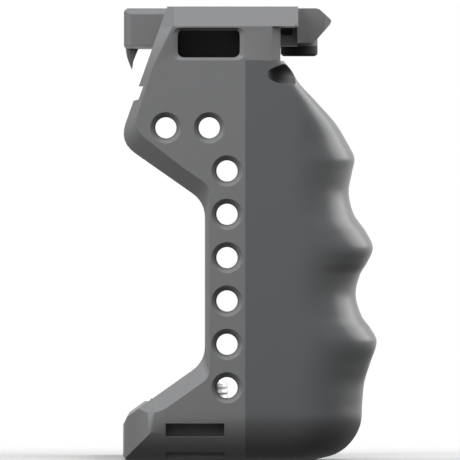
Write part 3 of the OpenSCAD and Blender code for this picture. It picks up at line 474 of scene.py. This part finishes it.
# Half of a thread ridge's foot as a share of its pitch, and how deep the foot is sunk
RIDGE_HALF = 0.42
RIDGE_SUNK = 0.02


def thread(centre, axis, radius, depth, pitch, length, inward=True, n=36):
    """A helical ridge in a bore, or round a shaft, from its low end along axis 0, 1 or 2."""
    other = [(1, 2), (2, 0), (0, 1)][axis]
    sign = -1 if inward else 1
    steps = int(length / pitch * n)
    run_out = n / 3
    profile = [(-RIDGE_HALF, 0.0), (0.0, 1.0), (RIDGE_HALF, 0.0)]
    verts, faces = [], []
    for i in range(steps + 1):
        a = 2 * math.pi * i / n
        fade = min(1.0, i / run_out, (steps - i) / run_out)
        for offset, height in profile:
            r = radius + sign * (depth * height * fade - RIDGE_SUNK)
            p = list(centre)
            p[axis] += pitch * (i / n + offset)
            p[other[0]] += r * math.cos(a)
            p[other[1]] += r * math.sin(a)
            verts.append(tuple(p))
    m = len(profile)
    for i in range(steps):
        for j in range(m - 1):
            q = (i * m + j, i * m + j + 1, (i + 1) * m + j + 1, (i + 1) * m + j)
            faces.append(q if sign > 0 else tuple(reversed(q)))
    return verts, faces


def bore_thread(x, y, z, axis, length):
    """A quarter inch thread in a bore."""
    return thread((x, at(y), z), axis, THREAD_R, THREAD_DEPTH, THREAD_PITCH, length)


def join(parts):
    """Vertices and faces of several meshes as one."""
    verts, faces = [], []
    for v, f in parts:
        base = len(verts)
        verts += v
        faces += [tuple(i + base for i in q) for q in f]
    return verts, faces


def pair(y, z):
    """Places of two holes side by side."""
    return [(y, z), (y + HOLE_STEP, z)]


def side_threads():
    """The threads of both side plates: a column and a pair near the grip, a pair far off."""
    outer = OUT_X - THREAD_OUT
    places = [(COLUMN_Y, COLUMN_LOW + HOLE_STEP * i) for i in range(COLUMN_N)]
    places += pair(PAIR_Y, CAGE_H - PAIR_DROP)
    near = [bore_thread(-outer, y, z, 0, SIDE_THREAD_L) for y, z in places]
    add_piece("grip_side_threads", *join(near), "frame_metal", "frame")
    far = [bore_thread(outer - SIDE_THREAD_L, y, z, 0, SIDE_THREAD_L)
           for y, z in pair(FAR_THREAD_Y, CAGE_H - FAR_THREAD_DROP)]
    add_piece("far_side_threads", *join(far), "frame_metal", "frame")


def top_threads():
    """The four threads beside the cold shoe."""
    top = [bore_thread(x, y, TOP_THREAD_Z, 2, TOP_THREAD_L)
           for x in (-TOP_THREAD_X, TOP_THREAD_X) for y in TOP_THREAD_YS]
    add_piece("top_threads", *join(top), "frame_metal", "frame")


def tripod_threads():
    """The two small tripod threads and the large one between them."""
    under = [bore_thread(HALF_W * share, 0, SMALL_TRIPOD_Z, 2, SMALL_TRIPOD_L)
             for share in SMALL_TRIPOD_SHARES]
    under.append(thread((HALF_W * LARGE_TRIPOD_SHARE, at(0), LARGE_TRIPOD_Z), 2,
                        LARGE_THREAD_R, LARGE_THREAD_DEPTH, LARGE_THREAD_PITCH, LARGE_TRIPOD_L))
    add_piece("tripod_threads", *join(under), "frame_metal", "frame")


def camera_screw_thread():
    """The thread on the camera screw's shank, which turns with it."""
    ridge = thread((0, at(0), SCREW_THREAD_Z), 2, SCREW_R, SCREW_THREAD_DEPTH, THREAD_PITCH,
                   SCREW_THREAD_L, inward=False)
    add_piece("camera_screw_thread", *ridge, "bright_steel", "camera_screw")


def slot_shade_sheet(name, side):
    """Black sheet of painted shade in an upper strap slot, which lies in its own shadow: low
    side, ends, back.
    """
    half_w = STRAP_W / 2 - SHADE_SHEET_GAP
    half_h = STRAP_H / 2 - SHADE_SHEET_GAP
    outline = [(at(STRAP_Y + i * half_w), STRAP_Z + k * half_h) for i, k in SQUARE]
    verts = [(side * x, y, z) for x in SHADE_SHEET_X for y, z in outline]
    # Painted shade: a black sheet in the black rubber finish, where the slot is only in shadow
    # and has no lining
    add_piece(name, verts, [(0, 1, 5, 4), (1, 2, 6, 5), (3, 0, 4, 7), (4, 5, 6, 7)],
              "black_rubber", "frame", smooth=False)


side_threads()
top_threads()
tripod_threads()
camera_screw_thread()
# Black sheets of painted shade in the upper strap slots
slot_shade_sheet("grip_side_slot_painted_shade", -1)
slot_shade_sheet("far_side_slot_painted_shade", 1)

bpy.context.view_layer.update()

scene = bpy.context.scene
scene.view_settings.view_transform = "Standard"


def math_node(tree, operation, first, second):
    node = tree.nodes.new("ShaderNodeMath")
    node.operation = operation
    link_chain(tree, (first, node.inputs[0]), (second, node.inputs[1]))
    return node.outputs[0]


def background_rays(tree):
    """One for rays that show the background: seen straight, mirrored or through glass."""
    path = tree.nodes.new("ShaderNodeLightPath")
    mirrored = math_node(tree, "MAXIMUM", path.outputs["Is Camera Ray"],
                         path.outputs["Is Glossy Ray"])
    return math_node(tree, "MAXIMUM", mirrored, path.outputs["Is Transmission Ray"])


def mixed(tree, factor, first, second):
    """Mix of two shaders: the first at factor 0, the second at 1."""
    node = tree.nodes.new("ShaderNodeMixShader")
    link_chain(tree, (factor, node.inputs["Fac"]), (first, node.inputs[1]),
               (second, node.inputs[2]))
    return node.outputs[0]


WORLD_GREY = 0.05
FLOOR_GREY = 0.66
FLOOR_GLOW = 0.13
FLOOR_HALF = 6000.0
FLOOR_Z = -0.1
# Distances in metres from the footprint's middle, between which the floor goes over to white
PALE_TO = 0.07
WHITE_FROM = 0.28


def studio_world():
    """White where the background shows, a weak grey as light."""
    world = bpy.data.worlds.new("studio")
    scene.world = world
    world.use_nodes = True
    tree = world.node_tree
    soft = tree.nodes["Background"]
    soft.inputs["Color"].default_value = (WORLD_GREY, WORLD_GREY, WORLD_GREY, 1)
    white = new_node(tree, "ShaderNodeBackground", Color=(1, 1, 1, 1))
    surface = mixed(tree, background_rays(tree), soft.outputs[0], white.outputs[0])
    link_chain(tree, (surface, tree.nodes["World Output"].inputs["Surface"]))


def floor_material():
    """Pale with the part's shadow, white further out, and clear from below."""
    mat = bpy.data.materials.new("floor")
    mat.use_nodes = True
    tree = mat.node_tree
    tree.nodes.clear()
    out = tree.nodes.new("ShaderNodeOutputMaterial")
    pale = new_node(tree, "ShaderNodeBsdfDiffuse", Color=(FLOOR_GREY, FLOOR_GREY, FLOOR_GREY, 1))
    grey = new_node(tree, "ShaderNodeEmission", Color=(1, 1, 1, 1), Strength=FLOOR_GLOW)
    glow = new_node(tree, "ShaderNodeEmission", Color=(1, 1, 1, 1))
    place = tree.nodes.new("ShaderNodeTexCoord")
    distance = tree.nodes.new("ShaderNodeVectorMath")
    distance.operation = "LENGTH"
    fade = new_node(tree, "ShaderNodeMapRange", From__Min=PALE_TO, From__Max=WHITE_FROM)
    fade.interpolation_type = "SMOOTHSTEP"
    path = tree.nodes.new("ShaderNodeLightPath")
    side = tree.nodes.new("ShaderNodeNewGeometry")
    clear = tree.nodes.new("ShaderNodeBsdfTransparent")
    link_chain(tree, (place.outputs["Object"], distance.inputs[0]),
               (distance.outputs["Value"], fade.inputs["Value"]))
    seen = math_node(tree, "MULTIPLY", fade.outputs["Result"], background_rays(tree))
    ground = mixed(tree, path.outputs["Is Camera Ray"], grey.outputs[0], pale.outputs[0])
    above = mixed(tree, seen, ground, glow.outputs[0])
    surface = mixed(tree, side.outputs["Backfacing"], above, clear.outputs[0])
    link_chain(tree, (surface, out.inputs["Surface"]))
    return mat


studio_world()
floor = mesh_object("floor", [(i * FLOOR_HALF, j * FLOOR_HALF, FLOOR_Z) for i, j in SQUARE],
                    [(0, 1, 2, 3)])
floor.data.materials.append(floor_material())

# What the lamps are aimed at, in metres
AIM = (0, 0.004, 0.05)


def lamp(name, place, size, brightness):
    """Square soft lamp aimed at the part, in metres, whose power goes with its area."""
    light = bpy.data.lights.new(name, "AREA")
    light.shape = "SQUARE"
    light.size = size
    light.energy = brightness * math.pi * size * size
    obj = bpy.data.objects.new(name, light)
    obj.location = place
    obj.rotation_mode = "QUATERNION"
    obj.rotation_quaternion = (Vector(AIM) - Vector(place)).to_track_quat("-Z", "Y")
    scene.collection.objects.link(obj)


lamp("top_lamp", (-0.6, -0.1, 1.15), 1.3, 3.0)
lamp("rear_lamp", (-0.7, 1.0, 0.7), 1.0, 4.6)
lamp("side_lamp", (-1.8, 0.3, 0.6), 0.6, 2.2)
lamp("front_lamp", (0.5, -1.1, 0.7), 1.3, 4.0)

# Photograph's view: square on to the grip side, from far off. In metres, the point in the
# picture's middle, and half of what the picture shows at that depth.
SENSOR = 36
LENS = 1700
VIEW_MIDDLE = (-0.045, 0.0044, 0.0505)
VIEW_HALF = 0.0506
NEAREST = 0.1
FARTHEST = 60


def photo_camera():
    data = bpy.data.cameras.new("camera")
    data.sensor_width = SENSOR
    data.lens = LENS
    data.clip_start = NEAREST
    data.clip_end = FARTHEST
    cam = bpy.data.objects.new("camera", data)
    x, y, z = VIEW_MIDDLE
    cam.location = (x - VIEW_HALF * LENS / (SENSOR / 2), y, z)
    cam.rotation_euler = (math.radians(90), 0, math.radians(-90))
    scene.collection.objects.link(cam)
    scene.camera = cam


photo_camera()
